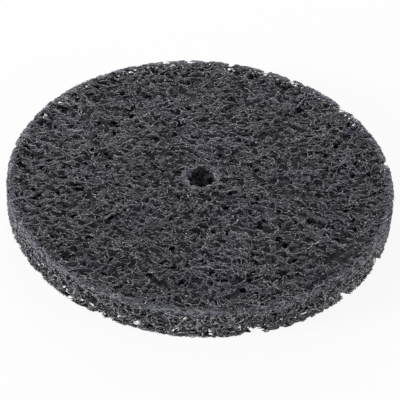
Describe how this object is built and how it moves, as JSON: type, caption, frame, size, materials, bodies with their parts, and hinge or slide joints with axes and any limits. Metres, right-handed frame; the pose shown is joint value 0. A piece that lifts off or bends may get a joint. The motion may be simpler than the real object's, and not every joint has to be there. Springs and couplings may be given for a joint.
{
  "type": "open-web grinding wheel",
  "caption": "Flat round wheel of coarse open fibre web, bonded with dark resin and abrasive grain, with a small plain bore for an arbor; strips paint and rust.",
  "frame": {"origin": "middle of the lower face, on the wheel's axis, where it rests on a bench", "axes": "+Z along the wheel's axis, out of its upper face; X and Y lie in its plane"},
  "size_m": [0.15, 0.15, 0.0127],
  "materials": {
    "web": "matt charcoal resin over crimped nylon fibre, with glinting abrasive grain"
  },
  "bodies": {
    "root": {"web_disc": "web"}
  },
  "joints": []
}
